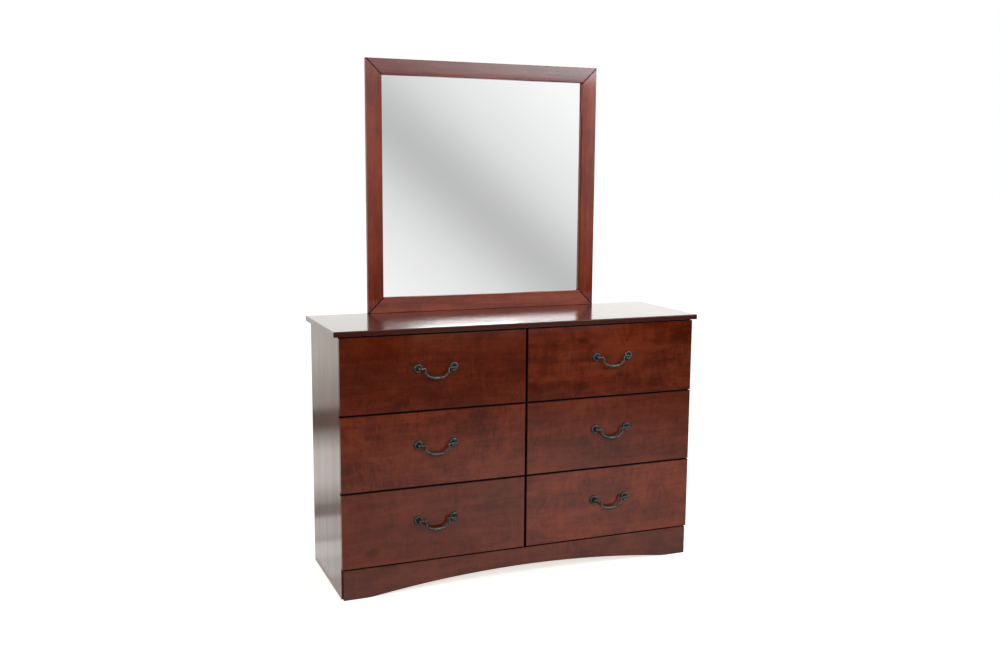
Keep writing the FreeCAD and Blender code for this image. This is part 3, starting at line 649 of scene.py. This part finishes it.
# Painted reflections: bands across the floor behind the left side, as that side shows them: y, radiance and
# half width.
BANDS = ((0.12, 0.83, 0.22), (0.27, 0.98, 0.12), (0.5, 0.77, 0.2), (0.69, 0.31, 0.115), (1.3, 0.97, 0.58),
         (2.18, 0.13, 0.38))


def banded_floor(tree, apart, path):
    """A painted reflection of the floor behind the left side, paler far away, with soft bands that lie over
    each other.
    """
    radiance = span(tree, apart[1], 2.2, 4.5, 0.48, 0.84)
    for y, value, width in BANDS:
        share = span(tree, distance(tree, apart[1], y), width, 0.3 * width)
        radiance = between(tree, share, radiance, value)
    return radiance, span(tree, apart[1], -0.05, 0.05)


def make_cards():
    """What stands round the object in the studio: glowing sheets that are no lamps and show only in gloss,
    as painted reflections, dark ones among them.
    """
    white = (1, 1, 1)
    cards = (("mirror_backdrop", upright(-8, 8, WALL, 0, 4.9), backdrop, white),
             ("dark_floor", level(-6, 6, WALL, DARK_EDGE, 0.002), dark_floor, white),
             ("dark_ceiling", level(-9, 9, -8, 9, 5), dark_ceiling, white),
             ("bright_sweep", upright(-12, 12, 9, 0, 9), bright_sweep, (1.0, 0.985, 0.945)),
             ("upper_sheen", upright(0.2, 4.2, WALL + 0.05, SHEEN_FOOT, 3.0), upper_sheen,
              (0.93, 1.0, 1.05)),
             ("banded_floor", level(-4, -0.6, -0.1, 8.9, 0.003), banded_floor, (0.985, 0.98, 0.912)))
    for name, corners, look, tint in cards:
        card = plane(name, corners, card_material(name, look, tint))
        for kind in ("camera", "diffuse", "transmission", "volume_scatter", "shadow"):
            setattr(card, "visible_" + kind, False)


def softbox(name, place, target, width, height, radiance, glossy=True):
    """An area lamp at a place, aimed at a target, of a given radiance."""
    data = bpy.data.lights.new(name, "AREA")
    data.shape = "RECTANGLE"
    data.size = width
    data.size_y = height
    data.energy = radiance * math.pi * width * height
    lamp = bpy.data.objects.new(name, data)
    bpy.context.scene.collection.objects.link(lamp)
    lamp.location = place
    lamp.rotation_mode = "QUATERNION"
    lamp.rotation_quaternion = (Vector(target) - Vector(place)).to_track_quat("-Z", "Y")
    lamp.visible_camera = False
    lamp.visible_glossy = glossy


def make_lights():
    """Soft studio light: a pale surround, white where it is seen, and two softboxes in front."""
    surround_light = 0.5
    world = bpy.data.worlds.new("studio")
    bpy.context.scene.world = world
    world.use_nodes = True
    tree = world.node_tree
    path = node(tree, "LightPath").outputs
    seen = work_out(tree, "MAXIMUM", path["Is Camera Ray"], path["Is Glossy Ray"])
    seen = work_out(tree, "MAXIMUM", seen, path["Is Transmission Ray"])
    strength = work_out(tree, "MULTIPLY_ADD", seen, 1.0 - surround_light, surround_light)
    background = next(item for item in tree.nodes if item.type == "BACKGROUND")
    background.inputs["Color"].default_value = (1, 1, 1, 1)
    tree.links.new(strength, background.inputs["Strength"])
    softbox("key", (2.2, -3.6, 3.1), (0, 0, 0.9), width=2.4, height=1.6, radiance=6.0)
    softbox("fill", (-3.0, -3.4, 2.6), (0, 0, 0.7), width=2.0, height=1.6, radiance=4.0, glossy=False)


def make_camera():
    """The photograph's view, as measured from the straight edges of the case and the mirror."""
    place = (-1.3123, -3.2055, 1.2763)
    yaw, pitch, roll = (math.radians(angle) for angle in (-22.050, -8.528, 0.404))
    forward = Vector((-math.sin(yaw) * math.cos(pitch), math.cos(yaw) * math.cos(pitch), math.sin(pitch)))
    right = Vector((math.cos(yaw), math.sin(yaw), 0))
    up = right.cross(forward)
    turned_right = right * math.cos(roll) + up * math.sin(roll)
    turned_up = up * math.cos(roll) - right * math.sin(roll)
    data = bpy.data.cameras.new("camera")
    data.lens = 38.610
    data.sensor_width = 36.0
    data.sensor_fit = "HORIZONTAL"
    camera = bpy.data.objects.new("camera", data)
    bpy.context.scene.collection.objects.link(camera)
    axes = Matrix((turned_right, turned_up, -forward)).transposed()
    camera.matrix_world = Matrix.Translation(place) @ axes.to_4x4()
    bpy.context.scene.camera = camera


finish_case()
finish_drawers()
finish_thin_boards()
finish_mirror()
finish_metal()
make_floor()
make_cards()
make_lights()
make_camera()
bpy.context.scene.view_settings.view_transform = "Standard"
